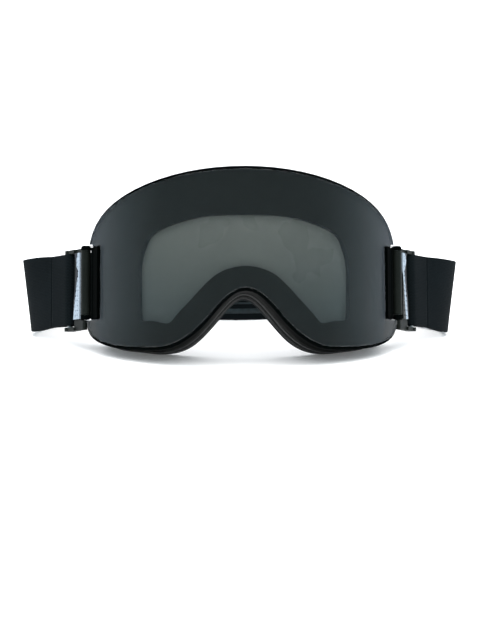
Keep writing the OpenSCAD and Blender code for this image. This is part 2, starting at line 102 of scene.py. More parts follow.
# unrolled outlines from top middle to nose middle: (distance along the curve, height)
LENS_HALF = [
    (0, 96.9), (30.5, 94.9), (63.5, 87.3), (91.3, 75), (101.3, 59.5), (101, 45), (103, 18), (98.6, 11),
    (78, 4.5), (57, 3.5), (40.5, 2.5), (25, 12.5), (17, 22.5), (7.8, 31.8), (0, 34.2),
]
WINDOW_HALF = [
    (0, 72), (21, 72), (37, 69), (55, 63.5), (57, 57), (61.5, 49.5), (60.5, 28), (61, 15.5),
    (53, 18.5), (42, 14), (39, 19), (29.5, 27.5), (18, 40), (9.5, 43.8), (0, 45.6),
]
WALL_HALF = [
    (0, 96.4), (30, 94.4), (60, 87.3), (82, 75), (88.5, 61), (88.5, 46), (88.5, 24), (86, 10),
    (74, 3.4), (57, 2.2), (41, 0), (26, 7), (15, 20.5), (6.5, 30.2), (0, 33),
]
FACE_HALF = [
    (0, 96), (30, 94), (60, 87.3), (83, 76.5), (90, 63), (90.5, 46), (90.5, 24), (88, 11),
    (75, 5), (57, 3.2), (41, 0.2), (26, 4.4), (14, 18), (6, 28), (0, 30.8),
]
INNER_HALF = [
    (0, 84), (26, 83), (50, 77), (68, 68), (76, 57), (77, 44), (77, 28), (75, 20),
    (67, 17.5), (55, 17), (45, 17.5), (34, 26), (23, 36), (9, 44.5), (0, 46.5),
]


def spline(a, b, c, d, t):
    """Point on a uniform cubic spline; the points may have any number of parts."""
    w = ((1 - t) ** 3, 3 * t ** 3 - 6 * t * t + 4, -3 * t ** 3 + 3 * t * t + 3 * t + 1, t ** 3)
    return tuple((w[0] * p + w[1] * q + w[2] * r + w[3] * s) / 6 for p, q, r, s in zip(a, b, c, d))


def closed_curve(half, steps):
    p = list(half) + [(-s, z) for s, z in reversed(half[1:-1])]
    n = len(p)
    return [spline(p[i - 1], p[i], p[(i + 1) % n], p[(i + 2) % n], j / steps)
            for i in range(n) for j in range(steps)]


def grown(curve, d):
    """Moves a clockwise curve outwards by d."""
    out = []
    n = len(curve)
    for i, (s, z) in enumerate(curve):
        a, b = curve[i - 1], curve[(i + 1) % n]
        tx, tz = b[0] - a[0], b[1] - a[1]
        size = math.hypot(tx, tz) or 1.0
        out.append((s - d * tz / size, z + d * tx / size))
    return out


def mixed(a, b, t):
    return [(p[0] * (1 - t) + q[0] * t, p[1] * (1 - t) + q[1] * t) for p, q in zip(a, b)]


def on_face(q, n, u):
    """Flat outline point to space: proud of the lens by n and moved back by u."""
    a = q[0] / LENS_R
    return worn((LENS_R + n) * math.sin(a), LENS_R - (LENS_R + n) * math.cos(a) + u, q[1])


# ---------------------------------------------------------------------------
# Materials
# ---------------------------------------------------------------------------
def srgb(r, g, b):
    """Linear colour from 0-255 display values."""
    def channel(v):
        v /= 255
        return v / 12.92 if v <= 0.04045 else ((v + 0.055) / 1.055) ** 2.4
    return (channel(r), channel(g), channel(b), 1.0)


class Shader:
    """A node material with small helpers for building its graph."""

    def __init__(self, name, roughness=0.5, specular=0.5):
        self.mat = bpy.data.materials.new(name)
        self.mat.use_nodes = True
        self.nodes = self.mat.node_tree.nodes
        self.links = self.mat.node_tree.links
        self.bsdf = self.nodes["Principled BSDF"]
        self.set("Roughness", roughness)
        self.set("Specular IOR Level", specular)

    def set(self, socket, value):
        self.bsdf.inputs[socket].default_value = value

    def node(self, kind, **settings):
        n = self.nodes.new(kind)
        for key, value in settings.items():
            setattr(n, key, value)
        return n

    def link(self, a, b):
        self.links.new(a, b)

    def coords(self, kind="Object"):
        return self.node("ShaderNodeTexCoord").outputs[kind]

    def mapping(self, source, scale):
        m = self.node("ShaderNodeMapping")
        m.inputs["Scale"].default_value = scale
        self.link(source, m.inputs["Vector"])
        return m.outputs["Vector"]

    def noise(self, source, scale, detail=3.0, roughness=0.55):
        n = self.node("ShaderNodeTexNoise")
        n.inputs["Scale"].default_value = scale
        n.inputs["Detail"].default_value = detail
        n.inputs["Roughness"].default_value = roughness
        self.link(source, n.inputs["Vector"])
        return n.outputs["Fac"]

    def voronoi(self, source, scale, feature="F1"):
        n = self.node("ShaderNodeTexVoronoi", feature=feature)
        n.inputs["Scale"].default_value = scale
        self.link(source, n.inputs["Vector"])
        return n.outputs["Distance"]

    def math(self, operation, a, b=None, c=None):
        n = self.node("ShaderNodeMath", operation=operation)
        for i, value in enumerate((a, b, c)):
            if value is None:
                continue
            if isinstance(value, (int, float)):
                n.inputs[i].default_value = value
            else:
                self.link(value, n.inputs[i])
        return n.outputs[0]

    def ramp(self, source, stops):
        n = self.node("ShaderNodeValToRGB")
        ramp = n.color_ramp
        while len(ramp.elements) < len(stops):
            ramp.elements.new(0.5)
        for element, (place, colour) in zip(ramp.elements, stops):
            element.position = place
            element.color = colour
        self.link(source, n.inputs["Fac"])
        return n.outputs["Color"]

    def remap(self, source, low, high, start=0.0, end=1.0):
        n = self.node("ShaderNodeMapRange")
        n.inputs["From Min"].default_value = start
        n.inputs["From Max"].default_value = end
        n.inputs["To Min"].default_value = low
        n.inputs["To Max"].default_value = high
        self.link(source, n.inputs["Value"])
        return n.outputs["Result"]

    def colour(self, source):
        self.link(source, self.bsdf.inputs["Base Color"])

    def rough(self, source):
        self.link(source, self.bsdf.inputs["Roughness"])

    def bump(self, height, distance, strength=1.0):
        n = self.node("ShaderNodeBump")
        n.inputs["Distance"].default_value = distance
        n.inputs["Strength"].default_value = strength
        self.link(height, n.inputs["Height"])
        self.link(n.outputs["Normal"], self.bsdf.inputs["Normal"])


def plastic(name, dark, light, roughness, grain=1500.0, depth=0.00004, specular=0.5):
    """Moulded plastic: fine spark-eroded grain, faint handling marks and uneven gloss."""
    m = Shader(name, roughness, specular)
    where = m.coords()
    fine = m.noise(where, grain, 2.0, 0.6)
    broad = m.noise(where, 45.0, 4.0, 0.6)
    m.colour(m.ramp(m.math("ADD", m.math("MULTIPLY", fine, 0.35), m.math("MULTIPLY", broad, 0.65)),
                    [(0.3, dark), (0.72, light)]))
    m.rough(m.remap(m.math("ADD", m.math("MULTIPLY", broad, 0.7), m.math("MULTIPLY", fine, 0.3)),
                    roughness - 0.08, roughness + 0.1, 0.3, 0.7))
    m.bump(fine, depth, 0.6)
    return m.mat


def metal(name, colour, roughness, stretch):
    """Brushed or drawn metal with hairlines along one direction."""
    m = Shader(name)
    m.set("Metallic", 1.0)
    where = m.mapping(m.coords(), stretch)
    lines = m.noise(where, 900.0, 3.0, 0.7)
    broad = m.noise(m.coords(), 60.0, 3.0, 0.5)
    worn_colour = tuple(c * 0.72 for c in colour[:3]) + (1.0,)
    m.colour(m.ramp(m.math("ADD", m.math("MULTIPLY", lines, 0.6), m.math("MULTIPLY", broad, 0.4)),
                    [(0.3, worn_colour), (0.7, colour)]))
    m.rough(m.remap(lines, roughness - 0.08, roughness + 0.14, 0.3, 0.7))
    m.bump(lines, 0.00002, 0.5)
    return m.mat


def foam(name, pore_shade, skin, scale, depth):
    """Open-cell foam: rounded pores of two sizes, with painted shade darkening their bottoms."""
    m = Shader(name, 0.95, 0.15)
    where = m.coords()
    small = m.voronoi(where, scale)
    large = m.voronoi(where, scale * 0.43)
    height = m.math("ADD", m.math("MULTIPLY", small, 0.6), m.math("MULTIPLY", large, 0.4))
    # painted shade: the colour darkens towards the bottoms of the pores
    m.colour(m.ramp(height, [(0.12, skin), (0.55, pore_shade)]))
    m.bump(m.math("SUBTRACT", 1.0, height), depth, 0.9)
    m.set("Sheen Weight", 0.1)
    return m.mat


def fleece(name, dark, light):
    """Brushed micro-fleece: clumped pile with a soft sheen."""
    m = Shader(name, 1.0, 0.1)
    where = m.coords()
    pile = m.noise(where, 1900.0, 6.0, 0.75)
    clump = m.noise(where, 260.0, 3.0, 0.6)
    height = m.math("ADD", m.math("MULTIPLY", pile, 0.6), m.math("MULTIPLY", clump, 0.4))
    m.colour(m.ramp(height, [(0.32, dark), (0.7, light)]))
    m.bump(height, 0.00035, 0.9)
    m.set("Sheen Weight", 0.35)
    m.set("Sheen Roughness", 0.5)
    return m.mat


def webbing(name, dark, light, rib=0.00085, pick=0.0013, depth=0.00012):
    """Woven elastic: ribs along the strap, with picks that step over every other rib."""
    m = Shader(name, 0.8, 0.045)
    split = m.node("ShaderNodeSeparateXYZ")
    m.link(m.coords("UV"), split.inputs["Vector"])
    along, across = split.outputs["X"], split.outputs["Y"]
    ribs = m.math("DIVIDE", across, rib)
    odd = m.math("MODULO", m.math("FLOOR", ribs), 2.0)
    rib_wave = m.math("ABSOLUTE", m.math("SINE", m.math("MULTIPLY", ribs, math.pi)))
    phase = m.math("ADD", m.math("MULTIPLY", along, 2 * math.pi / pick),
                   m.math("MULTIPLY", odd, math.pi))
    pick_wave = m.math("ADD", m.math("MULTIPLY", m.math("SINE", phase), 0.5), 0.5)
    fuzz = m.noise(m.coords(), 2600.0, 3.0, 0.7)
    tone = m.noise(m.coords(), 38.0, 3.0, 0.55)
    raised = m.math("ADD", m.math("MULTIPLY", pick_wave, 0.6), 0.4)
    height = m.math("ADD", m.math("MULTIPLY", rib_wave, raised), m.math("MULTIPLY", fuzz, 0.25))
    shade = m.math("ADD", m.math("MULTIPLY", height, 0.6), m.math("MULTIPLY", tone, 0.5))
    m.colour(m.ramp(shade, [(0.25, dark), (0.95, light)]))
    m.rough(m.remap(fuzz, 0.7, 0.9))
    m.bump(height, depth, 0.8)
    return m.mat


def mirror_lens():
    """Smoke lens with a cool hard coat; what lies behind it shows through faintly."""
    m = Shader("lens_mirror", 0.04, 0.5)
    smear = m.noise(m.coords(), 22.0, 4.0, 0.6)
    m.colour(m.ramp(smear, [(0.3, srgb(16, 19, 21)), (0.75, srgb(22, 26, 28))]))
    m.rough(m.remap(smear, 0.03, 0.075, 0.3, 0.8))
    m.set("Alpha", 0.22)
    m.set("IOR", 1.58)
    m.set("Coat Weight", 0.6)
    m.set("Coat Roughness", 0.03)
    m.set("Coat IOR", 1.6)
    m.set("Coat Tint", (0.86, 0.96, 1.0, 1.0))
    return m.mat


def printed_border():
    """Black ink baked on the back of the lens around the window."""
    m = Shader("lens_border", 0.5, 0.2)
    ink = m.noise(m.coords(), 500.0, 2.0, 0.5)
    m.colour(m.ramp(ink, [(0.3, srgb(8, 11, 11)), (0.7, srgb(14, 18, 17))]))
    m.rough(m.remap(ink, 0.4, 0.6, 0.3, 0.7))
    return m.mat


def inner_film():
    """Anti-fog inner lens: neutral grey with haze, a faint dusting, and painted light that makes it lighter
    towards the top.
    """
    m = Shader("inner_lens", 0.3, 0.4)
    haze = m.noise(m.coords(), 30.0, 3.0, 0.5)
    dust = m.noise(m.coords(), 1400.0, 2.0, 0.5)
    split = m.node("ShaderNodeSeparateXYZ")
    m.link(m.coords(), split.inputs["Vector"])
    # painted light: the grey is made lighter towards the top, where light from behind shows through the
    # window
    rise = m.remap(split.outputs["Z"], 0.0, 1.0, 0.03, 0.082)
    tone = m.math("ADD", m.math("MULTIPLY", m.math("ADD", haze, dust), 0.12), m.math("MULTIPLY", rise, 0.7))
    m.colour(m.ramp(tone, [(0.05, srgb(68, 76, 76)), (1.0, srgb(124, 128, 122))]))
    m.rough(m.remap(haze, 0.24, 0.36, 0.3, 0.7))
    return m.mat


def silicone(name, dark, light):
    m = Shader(name, 0.42, 0.2)
    tone = m.noise(m.coords(), 420.0, 3.0, 0.6)
    m.colour(m.ramp(tone, [(0.3, dark), (0.7, light)]))
    m.rough(m.remap(tone, 0.34, 0.52, 0.3, 0.7))
    m.bump(tone, 0.00005, 0.5)
    return m.mat


PLATE_LOW = 20.0
PLATE_HIGH = 58.0
PLATE_REACH = 12.0
# the plate's silver band, partly a pale insert and partly a painted reflection of the white studio, runs
# between two edges, as (height in the leaning frame, distance along the arm)
SILVER_SHEEN_FROM = {
    "left": [(20, 2.0), (58, 2.0)],
    "right": [(20, 7.2), (30, 5.8), (38, 4.8), (47.5, 3.3), (58, 2.3)],
}
SILVER_SHEEN_TO = {
    "left": [(20, 11), (30, 9), (38, 7.1), (47.5, 4.8), (49.5, 6.7), (53.3, 6.9), (58, 5.6)],
    "right": [(20, 10), (30, 8.5), (38, 6.9), (47.5, 5.6), (50, 7.0), (53.3, 8.4), (58, 6.6)],
}


def plate_finish_and_painted_light():
    """Pearl lacquer with hairline brushing, partly a painted reflection of the white studio; a painted navy
    band of strap in shade at the free edge; and a dark shoulder, wider lower down on the right, where the
    painted highlight gives way to shade.
    """
    m = Shader("plate_silver", 0.3, 0.1)
    lines = m.noise(m.mapping(m.coords(), (1.0, 1.0, 22.0)), 260.0, 3.0, 0.6)
    fleck = m.voronoi(m.coords(), 1500.0)
    # painted reflection: the silver is partly the white studio's reflection painted into the colour
    silver_and_reflection = m.ramp(m.math("ADD", m.math("MULTIPLY", lines, 0.7), m.math("MULTIPLY", fleck, 0.3)),
                    [(0.25, srgb(118, 129, 140)), (0.7, srgb(158, 171, 184))])
    # painted shade: the navy band is the strap's colour in shade, painted on the plate's free edge
    shaded_navy = m.ramp(fleck, [(0.1, srgb(5, 9, 18)), (0.6, srgb(10, 16, 27))])
    dark = m.ramp(lines, [(0.3, srgb(11, 14, 13)), (0.7, srgb(20, 24, 22))])
    split = m.node("ShaderNodeSeparateXYZ")
    m.link(m.coords(), split.inputs["Vector"])
    folded = m.node("ShaderNodeCombineXYZ")
    m.link(m.math("ABSOLUTE", split.outputs["X"]), folded.inputs["X"])
    m.link(split.outputs["Y"], folded.inputs["Y"])
    m.link(split.outputs["Z"], folded.inputs["Z"])
    right = m.math("GREATER_THAN", split.outputs["X"], 0.0)

    def measured(direction, start):
        """Millimetres from the hinge along a direction."""
        dot = m.node("ShaderNodeVectorMath", operation="DOT_PRODUCT")
        m.link(folded.outputs["Vector"], dot.inputs[0])
        dot.inputs[1].default_value = direction / MM
        return m.math("ADD", dot.outputs["Value"], start - hinge_place.dot(direction) / MM)

    splay = math.radians(SPLAY)
    along = measured(TILT @ Vector((math.sin(splay), math.cos(splay), 0.0)), 0.0)
    height = measured(TILT @ Vector((0.0, 0.0, 1.0)), HINGE.z)

    def edge(table):
        """Distance along the arm of one of the edges of the silver band and its painted reflection, at each
        height and on each side.
        """
        sides = []
        for side in ("left", "right"):
            stops = [((z - PLATE_LOW) / (PLATE_HIGH - PLATE_LOW), (a / PLATE_REACH,) * 3 + (1.0,))
                     for z, a in table[side]]
            level = m.remap(height, 0.0, 1.0, PLATE_LOW, PLATE_HIGH)
            sides.append(m.math("MULTIPLY", m.ramp(level, stops), PLATE_REACH))
        left_part = m.math("MULTIPLY", sides[0], m.math("SUBTRACT", 1.0, right))
        return m.math("ADD", left_part, m.math("MULTIPLY", sides[1], right))

    # the painted highlight's edge is made jagged with noise
    jagged_edge = m.math("MULTIPLY", m.math("SUBTRACT", m.noise(m.coords(), 900.0, 2.0, 0.6), 0.5), 1.6)
    beyond = m.math("ADD", m.math("SUBTRACT", along, edge(SILVER_SHEEN_TO)), jagged_edge)
    past_end = m.remap(beyond, 0.0, 1.0, -0.25, 0.25)
    past_start = m.remap(m.math("SUBTRACT", along, edge(SILVER_SHEEN_FROM)), 0.0, 1.0, -0.2, 0.2)

    def blended(amount, a, b):
        mix = m.node("ShaderNodeMix", data_type="RGBA")
        m.link(amount, mix.inputs["Factor"])
        m.link(a, mix.inputs[6])
        m.link(b, mix.inputs[7])
        return mix.outputs[2]

    m.colour(blended(past_end, blended(past_start, dark, silver_and_reflection), shaded_navy))
    m.rough(m.remap(lines, 0.22, 0.38, 0.3, 0.7))
    m.bump(lines, 0.00002, 0.4)
    return m.mat


MATERIALS = {
    "lens_mirror": mirror_lens(),
    "inner_lens": inner_film(),
    "frame_black": plastic("frame_black", srgb(3, 4, 4), srgb(8, 10, 9), 0.66, specular=0.015),
    "hinge_black": plastic("hinge_black", srgb(1, 2, 2), srgb(3, 5, 5), 0.75, 1900.0, 0.00005, 0.01),
    "arm_olive": plastic("arm_olive", srgb(12, 15, 14), srgb(22, 26, 23), 0.45, 1300.0, 0.00003, 0.08),
    "plate_silver": plate_finish_and_painted_light(),
    "steel": metal("steel", srgb(168, 172, 174), 0.3, (1.0, 1.0, 20.0)),
    "foam_black": foam("foam_black", srgb(5, 6, 6), srgb(22, 25, 24), 1100.0, 0.0005),
    "fleece_black": fleece("fleece_black", srgb(12, 14, 15), srgb(38, 42, 44)),
    "webbing_navy": webbing("webbing_navy", srgb(4, 7, 8), srgb(15, 21, 24)),
    "silicone_slate": silicone("silicone_slate", srgb(18, 27, 30), srgb(32, 44, 48)),
}
BORDER = printed_border()


# ---------------------------------------------------------------------------
# Mesh helpers
# ---------------------------------------------------------------------------
def mesh_object(name, points, faces, material, uvs=None):
    mesh = bpy.data.meshes.new(name)
    mesh.from_pydata([tuple(p) for p in points], [], faces)
    if uvs:
        layer = mesh.uv_layers.new(name="UVMap")
        for poly in mesh.polygons:
            for loop, uv in zip(poly.loop_indices, uvs[poly.index]):
                layer.data[loop].uv = uv
    bm = bmesh.new()
    bm.from_mesh(mesh)
    bmesh.ops.recalc_face_normals(bm, faces=bm.faces)
    bm.to_mesh(mesh)
    bm.free()
    mesh.polygons.foreach_set("use_smooth", [True] * len(mesh.polygons))
    mesh.materials.append(material)
    obj = bpy.data.objects.new(name, mesh)
    bpy.context.scene.collection.objects.link(obj)
    return obj


def band(name, sections, material, closed=True, capped=True):
    """A loop of points swept along stations, with texture lengths in metres."""
    n, m = len(sections), len(sections[0])
    points = [p for s in sections for p in s]
    girth = [0.0]
    for j in range(m):
        girth.append(girth[-1] + (sections[0][(j + 1) % m] - sections[0][j]).length)
    run = [0.0]
    for i in range(n if closed else n - 1):
        run.append(run[-1] + (sections[(i + 1) % n][0] - sections[i][0]).length)
    faces, uvs = [], []
    for i in range(n if closed else n - 1):
        k = (i + 1) % n
        for j in range(m):
            l = (j + 1) % m
            faces.append((i * m + j, i * m + l, k * m + l, k * m + j))
            uvs.append(((run[i], girth[j]), (run[i], girth[j + 1]),
                        (run[i + 1], girth[j + 1]), (run[i + 1], girth[j])))
    if not closed and capped:
        for ring in (0, n - 1):
            faces.append(tuple(ring * m + j for j in range(m)))
            uvs.append(tuple((run[ring], g) for g in girth[:-1]))
    return mesh_object(name, points, faces, material, uvs)


def finish_piece(obj, body, slot, *nodes):
    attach(obj, body)
    if nodes:
        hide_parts(*nodes)
    return obj


# ---------------------------------------------------------------------------
# Lenses: curved shells with rounded, polished edges
# ---------------------------------------------------------------------------
def eased_corner(before, corner, after, reach):
    """Five points that round a corner of a flat outline."""
    a = Vector(corner) + (Vector(before) - Vector(corner)).normalized() * reach
    b = Vector(corner) + (Vector(after) - Vector(corner)).normalized() * reach
    c = Vector(corner)
    return [tuple(a.lerp(c, k / 4).lerp(c.lerp(b, k / 4), k / 4)) for k in range(5)]


def notched(curve):
    """Cuts the square side notches for the hinge blocks out of a lens outline."""
    out = []
    n = len(curve)
    for i in range(n):
        (s, z), (s2, z2) = curve[i], curve[(i + 1) % n]
        side = math.copysign(1, s)
        inside = NOTCH_LOW < z < NOTCH_HIGH and abs(s) > NOTCH_S
        if not inside:
            out.append((s, z))
        for edge in (NOTCH_HIGH, NOTCH_LOW):
            if (z - edge) * (z2 - edge) < 0 and abs(s) > NOTCH_S:
                rim = (s + (s2 - s) * (edge - z) / (z2 - z), edge)
                root = (NOTCH_S * side, edge)
                middle = (NOTCH_S * side, (NOTCH_LOW + NOTCH_HIGH) / 2)
                if NOTCH_LOW < z2 < NOTCH_HIGH:
                    out += eased_corner((s, z), rim, root, 0.9) + eased_corner(rim, root, middle, 0.9)
                    out += [(NOTCH_S * side, edge + (middle[1] - edge) * k / 8) for k in range(1, 8)]
                else:
                    out += [(NOTCH_S * side, edge + (middle[1] - edge) * (1 - k / 8)) for k in range(8)]
                    out += eased_corner(middle, root, rim, 0.9) + eased_corner(root, rim, (s2, z2), 0.9)
    kept = []
    for q in out:
        if not kept or math.dist(q, kept[-1]) > 0.12:
            kept.append(q)
    return kept


def contains(loop, q):
    """Whether a flat point lies inside a closed outline."""
    inside = False
    x, y = q
    for (x1, y1), (x2, y2) in zip(loop, loop[1:] + loop[:1]):
        if (y1 > y) != (y2 > y) and x < (x2 - x1) * (y - y1) / (y2 - y1) + x1:
            inside = not inside
    return inside


def lens_skin(edge_loop, inner_loop, spacing):
    """Triangles that fill a lens outline, with edges along the window outline if one is given."""
    points = [Vector(q) for q in edge_loop]
    edges = [(i, (i + 1) % len(edge_loop)) for i in range(len(edge_loop))]
    if inner_loop:
        first = len(points)
        points += [Vector(q) for q in inner_loop]
        edges += [(first + i, first + (i + 1) % len(inner_loop)) for i in range(len(inner_loop))]
    guard = grown(edge_loop, -spacing * 0.4)
    near = inner_loop or []
    columns = int(LENS_REACH / spacing)
    for i in range(-columns, columns + 1):
        for j in range(int(LENS_TOP / spacing)):
            q = (i * spacing, j * spacing * 1.3)
            if contains(guard, q) and all(math.dist(q, p) > spacing * 0.5 for p in near):
                points.append(Vector(q))
    verts, _, faces, _, _, _ = delaunay_2d_cdt(points, edges, [], 1, 1e-5)
    return [tuple(v) for v in verts], faces


def lens_shell(name, curve, front, back, materials, window=None, spacing=3.0):
    """Front and back skins between two depths, joined by a rounded edge.

    Outside the window outline the back skin takes the last material, the printed border.
    """
    ease = min(0.45, (back - front) * 0.4)
    inset = grown(curve, -ease * 1.4)
    ring = [(inset, front), (grown(curve, -ease), front), (grown(curve, -ease * 0.3), front + ease * 0.3),
            (curve, front + ease), (curve, back - ease), (grown(curve, -ease * 0.3), back - ease * 0.3),
            (grown(curve, -ease), back), (inset, back)]
    skin, triangles = lens_skin(inset, window, spacing)
    count, n = len(skin), len(curve)
    where = {(round(x, 3), round(z, 3)): i for i, (x, z) in enumerate(skin)}
    rim = [where[(round(x, 3), round(z, 3))] for x, z in inset]
    points = [on_face(q, -front, 0) for q in skin] + [on_face(q, -back, 0) for q in skin]
    rows = [rim]
    for flat, depth in ring[1:-1]:
        rows.append(list(range(len(points), len(points) + n)))
        points += [on_face(q, -depth, 0) for q in flat]
    rows.append([i + count for i in rim])
    faces = [tuple(f) for f in triangles] + [tuple(count + i for i in reversed(f)) for f in triangles]
    faces += [(a[i], a[(i + 1) % n], b[(i + 1) % n], b[i]) for a, b in zip(rows, rows[1:]) for i in range(n)]
    obj = mesh_object(name, points, faces, materials[0])
    for extra in materials[1:]:
        obj.data.materials.append(extra)
    mesh = obj.data
    if window:
        outer_faces = [not contains(window, (sum(skin[i][0] for i in f) / 3, sum(skin[i][1] for i in f) / 3))
                       for f in triangles]
        for k, outside in enumerate(outer_faces):
            if outside:
                mesh.polygons[len(triangles) + k].material_index = 1
    normals = [v.normal.copy() for v in mesh.vertices]
    for i, q in enumerate(skin):
        radial = (on_face(q, 1, 0) - on_face(q, 0, 0)).normalized()
        normals[i] = radial if normals[i].dot(radial) > 0 else -radial
        normals[i + count] = radial if normals[i + count].dot(radial) > 0 else -radial
    mesh.normals_split_custom_set_from_vertices(normals)
    return obj


lens_line = closed_curve(LENS_HALF, 12)
window_line = closed_curve(WINDOW_HALF, 12)
outer = lens_shell("lens_outer_shell", notched(lens_line), 0.0, LENS_T - 0.08,
                   [MATERIALS["lens_mirror"], BORDER], window_line)
finish_piece(outer, "lens", "lens_mirror", "outer_lens")
inner = lens_shell("lens_inner_shell", grown(window_line, 4.0), SEAT_BACK, SEAT_BACK + 1.0,
                   [MATERIALS["inner_lens"]], None, 4.0)
finish_piece(inner, "lens", "inner_lens", "inner_lens")

# ---------------------------------------------------------------------------
# Face foam: three layers that swell a little between their glue lines
# ---------------------------------------------------------------------------
wall_line = closed_curve(WALL_HALF, 8)
face_line = closed_curve(FACE_HALF, 8)
inner_line = closed_curve(INNER_HALF, 8)


def foam_ring(name, u0, u1, ease, swell, material, ripple=0.0):
    """One foam layer: eased corners, sides that swell by a few tenths, slow unevenness."""
    depth = FACE_DEPTH - FRAME_DEPTH
    rng = random.Random(7)
    waves = [(rng.uniform(0, 6.28), k, rng.uniform(0.4, 1.0)) for k in (5, 9, 14, 23)]
    sections = []
    n = len(wall_line)
    for i in range(n):
        turn = 2 * math.pi * i / n
        uneven = ripple * sum(a * math.sin(k * turn + p) for p, k, a in waves) / 3

        def side(t, out):
            u = u0 + ease + (u1 - u0 - 2 * ease) * t
            part = (u - FRAME_DEPTH) / depth
            a = mixed([wall_line[i]], [face_line[i]], part)[0]
            c = inner_line[i]
            span = math.hypot(a[0] - c[0], a[1] - c[1]) or 1.0
            push = (swell * math.sin(math.pi * t) + uneven) / span
            q = (a[0] + (a[0] - c[0]) * push, a[1] + (a[1] - c[1]) * push)
            r = (c[0] - (a[0] - c[0]) * push, c[1] - (a[1] - c[1]) * push)
            return on_face(q if out else r, 0, u)

        def face(t, u):
            part = (u - FRAME_DEPTH) / depth
            a = mixed([wall_line[i]], [face_line[i]], part)[0]
            c = inner_line[i]
            e = ease / math.hypot(a[0] - c[0], a[1] - c[1])
            k = e + (1 - 2 * e) * t
            return on_face((a[0] + (c[0] - a[0]) * k, a[1] + (c[1] - a[1]) * k), 0, u + uneven * 0.5)

        loop = [face(k / 6, u0) for k in range(7)]
        loop += [side(k / 6, False) for k in range(7)]
        loop += [face(1 - k / 6, u1) for k in range(7)]
        loop += [side(1 - k / 6, True) for k in range(7)]
        sections.append(loop)
    ring = band(name, sections, material)
    for v in ring.data.vertices:
        v.co.z = max(v.co.z, FLOOR_CLEAR)
    return ring


base_ring = foam_ring("foam_ring_base", FRAME_DEPTH + GLUE_GAP, FRAME_DEPTH + FOAM_BASE_T, 0.7, 0.25,
                      MATERIALS["foam_black"], 0.06)
finish_piece(base_ring, "frame", "foam_black", "face_foam_base")
mid_ring = foam_ring("foam_ring_mid", FRAME_DEPTH + FOAM_BASE_T + LAYER_SEAM,
                     FACE_DEPTH - FLEECE_T - LAYER_SEAM, 1.6, 0.7, MATERIALS["foam_black"], 0.12)
finish_piece(mid_ring, "frame", "foam_black", "face_foam_mid")
fleece_ring = foam_ring("fleece_ring", FACE_DEPTH - FLEECE_T + LAYER_SEAM, FACE_DEPTH, 0.9, 0.35,
                        MATERIALS["fleece_black"], 0.12)
finish_piece(fleece_ring, "frame", "fleece_black", "face_foam_fleece")

# ---------------------------------------------------------------------------
# Strap: one folded length of webbing a side, joined under the adjusters
# ---------------------------------------------------------------------------
STRAP_Y = 152.0
STRAP_LIFT = 1.8
REAR_SHIFT = 80.11
STRAP_LOW = [
    (106.2, 78, 8.8), (111.4, 84, 6.2), (117, 92, 3.1), (121.1, 102, 1.2), (120.1, 112.5, 0.8),
    (114, 123.5, 0.8), (106.5, 134, 1.2), (100, 144.5, STRAP_LIFT), (90, STRAP_Y, STRAP_LIFT),
    (76, STRAP_Y, STRAP_LIFT), (54, STRAP_Y, STRAP_LIFT), (36, STRAP_Y, 1.85),
    (18, STRAP_Y, 0.6), (0, STRAP_Y, 0.3),
]
STRAP_HIGH = [
    (106.2, 87.5, 47.6), (112.3, 91.3, 46.5), (119.4, 97, 44.7), (125.9, 105, 42.5), (125.1, 114.5, 41.3),
    (117.5, 124.5, 40.9), (108.5, 134.5, 41.3), (100.5, 144.5, STRAP_LIFT + 40),
    (90, STRAP_Y, STRAP_LIFT + 40), (76, STRAP_Y, STRAP_LIFT + 40), (54, STRAP_Y, STRAP_LIFT + 40),
    (36, STRAP_Y, 41.5), (18, STRAP_Y, 40.6), (0, STRAP_Y, 40.3),
]


def open_curve(half, steps):
    """The strap's edge from the right outrigger to the middle of the back."""
    p = list(half) + [(-half[-2][0],) + tuple(half[-2][1:])]
    first = tuple(2 * a - b for a, b in zip(p[0], p[1]))
    q = [first] + p
    points = [spline(*q[i:i + 4], j / steps) for i in range(len(half) - 1) for j in range(steps)]
    points.append(tuple(half[-1]))
    return [Vector((x, y - REAR_SHIFT, z)) * MM for x, y, z in points]


STRAP_STEPS = 12
edge_low = open_curve(STRAP_LOW, STRAP_STEPS)
edge_high = open_curve(STRAP_HIGH, STRAP_STEPS)


def strap_station(i, depth):
    """(low point, high point, outward direction) of a layer's middle, depth mm under the face."""
    a, b = max(i - 1, 0), min(i + 1, len(edge_low) - 1)
    along = (edge_low[b] + edge_high[b]) - (edge_low[a] + edge_high[a])
    outward = along.cross(edge_high[i] - edge_low[i]).normalized()
    return edge_low[i] - outward * depth * MM, edge_high[i] - outward * depth * MM, outward


